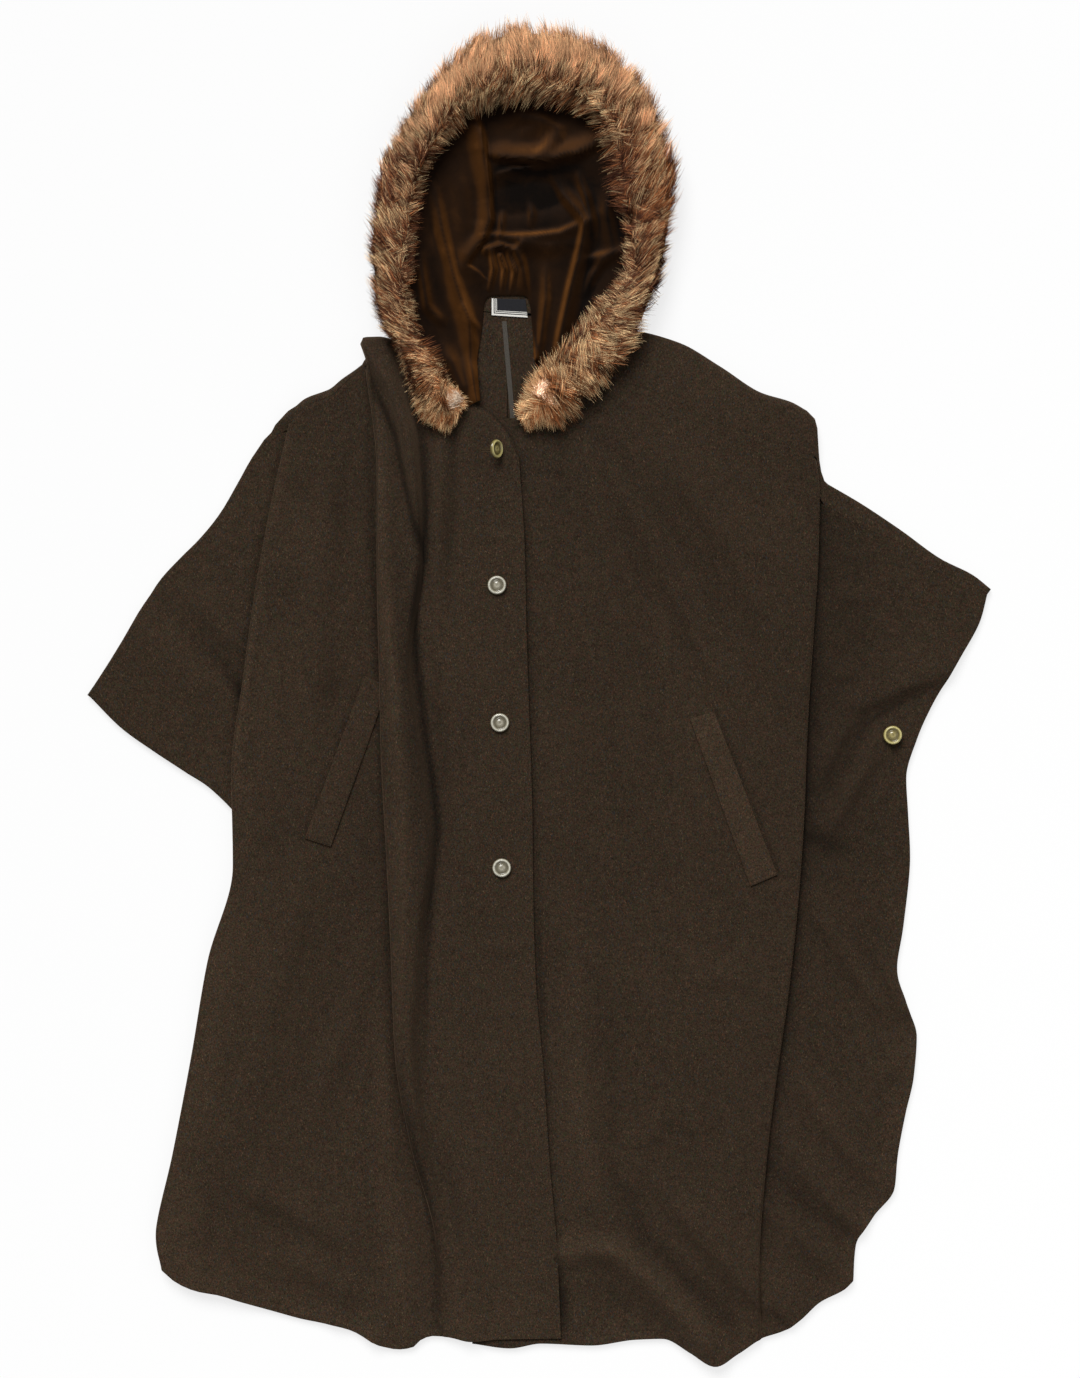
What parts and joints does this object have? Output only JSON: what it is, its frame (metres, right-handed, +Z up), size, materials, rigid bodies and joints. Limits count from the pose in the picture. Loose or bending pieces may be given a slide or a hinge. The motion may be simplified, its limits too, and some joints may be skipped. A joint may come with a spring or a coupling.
{
  "type": "hooded cape coat",
  "caption": "Wool cape coat laid flat on its back, closed in front with buttons, with welt pockets, cape-like side parts and a fur-edged hood.",
  "frame": {"origin": "middle of the coat's outline, on the plane it lies on", "axes": "+Z up from the plane it lies on, through the layers; +Y towards the hood; +X towards the wearer's left side"},
  "size_m": [0.9476, 1.404, 0.048],
  "materials": {
    "wool": "brushed wool coating, matt, with a short nap",
    "velvet": "velvet with a bronze sheen",
    "fur": "long soft fur with pale tips",
    "pearl_plastic": "pearly gloss",
    "label_cloth": "woven satin, plain border, no text",
    "tape_cloth": "woven tape"
  },
  "bodies": {
    "root": {"back_left": "wool", "back_right": "wool", "back_seam_tape": "tape_cloth", "button_1": "pearl_plastic", "button_2": "pearl_plastic", "button_3": "pearl_plastic", "button_4": "pearl_plastic", "button_side": "pearl_plastic", "front_left": "wool", "front_right": "wool", "fur_trim": "fur", "hood_left": "wool", "hood_lining": "velvet", "hood_right": "wool", "neck_label": "label_cloth", "welt_left": "wool", "welt_right": "wool"}
  },
  "joints": []
}
